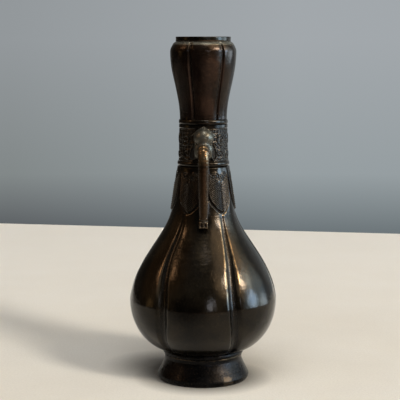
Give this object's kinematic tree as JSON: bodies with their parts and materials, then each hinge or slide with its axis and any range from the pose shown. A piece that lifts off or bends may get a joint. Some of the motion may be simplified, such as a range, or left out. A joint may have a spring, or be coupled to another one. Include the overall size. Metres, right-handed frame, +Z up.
{
  "type": "bronze hu vessel",
  "caption": "Lobed bronze bottle vase of the hu family: flared foot, pear-shaped belly, beaded neck with pendant leaves, flared mouth and elephant-head trunk handles.",
  "frame": {"origin": "centre of the foot's rest face, on the table", "axes": "+Z up the vase's axis; the front handle faces -Y and the back handle +Y; +X to the right seen from the front"},
  "size_m": [0.103, 0.1054, 0.24],
  "materials": {
    "dark_bronze": "dark waxed patina",
    "head_bronze": "grey-green patina",
    "worn_bronze": "rubbed brown patina",
    "fitting_bronze": "as cast",
    "solder": "dull"
  },
  "bodies": {
    "root": {"foot_ring": "dark_bronze", "foot_collar": "dark_bronze", "lobed_body": "dark_bronze", "lower_neck_ring": "dark_bronze", "neck_sleeve": "dark_bronze", "upper_neck_ring": "dark_bronze", "mouth_section": "dark_bronze", "lip_ring": "dark_bronze", "front_head": "head_bronze", "back_head": "head_bronze", "front_trunk": "worn_bronze", "back_trunk": "worn_bronze", "base_plate": "fitting_bronze", "head_rivets": "fitting_bronze", "rivet_washers": "fitting_bronze", "trunk_pegs": "fitting_bronze", "base_solder_seal": "solder"}
  },
  "joints": []
}
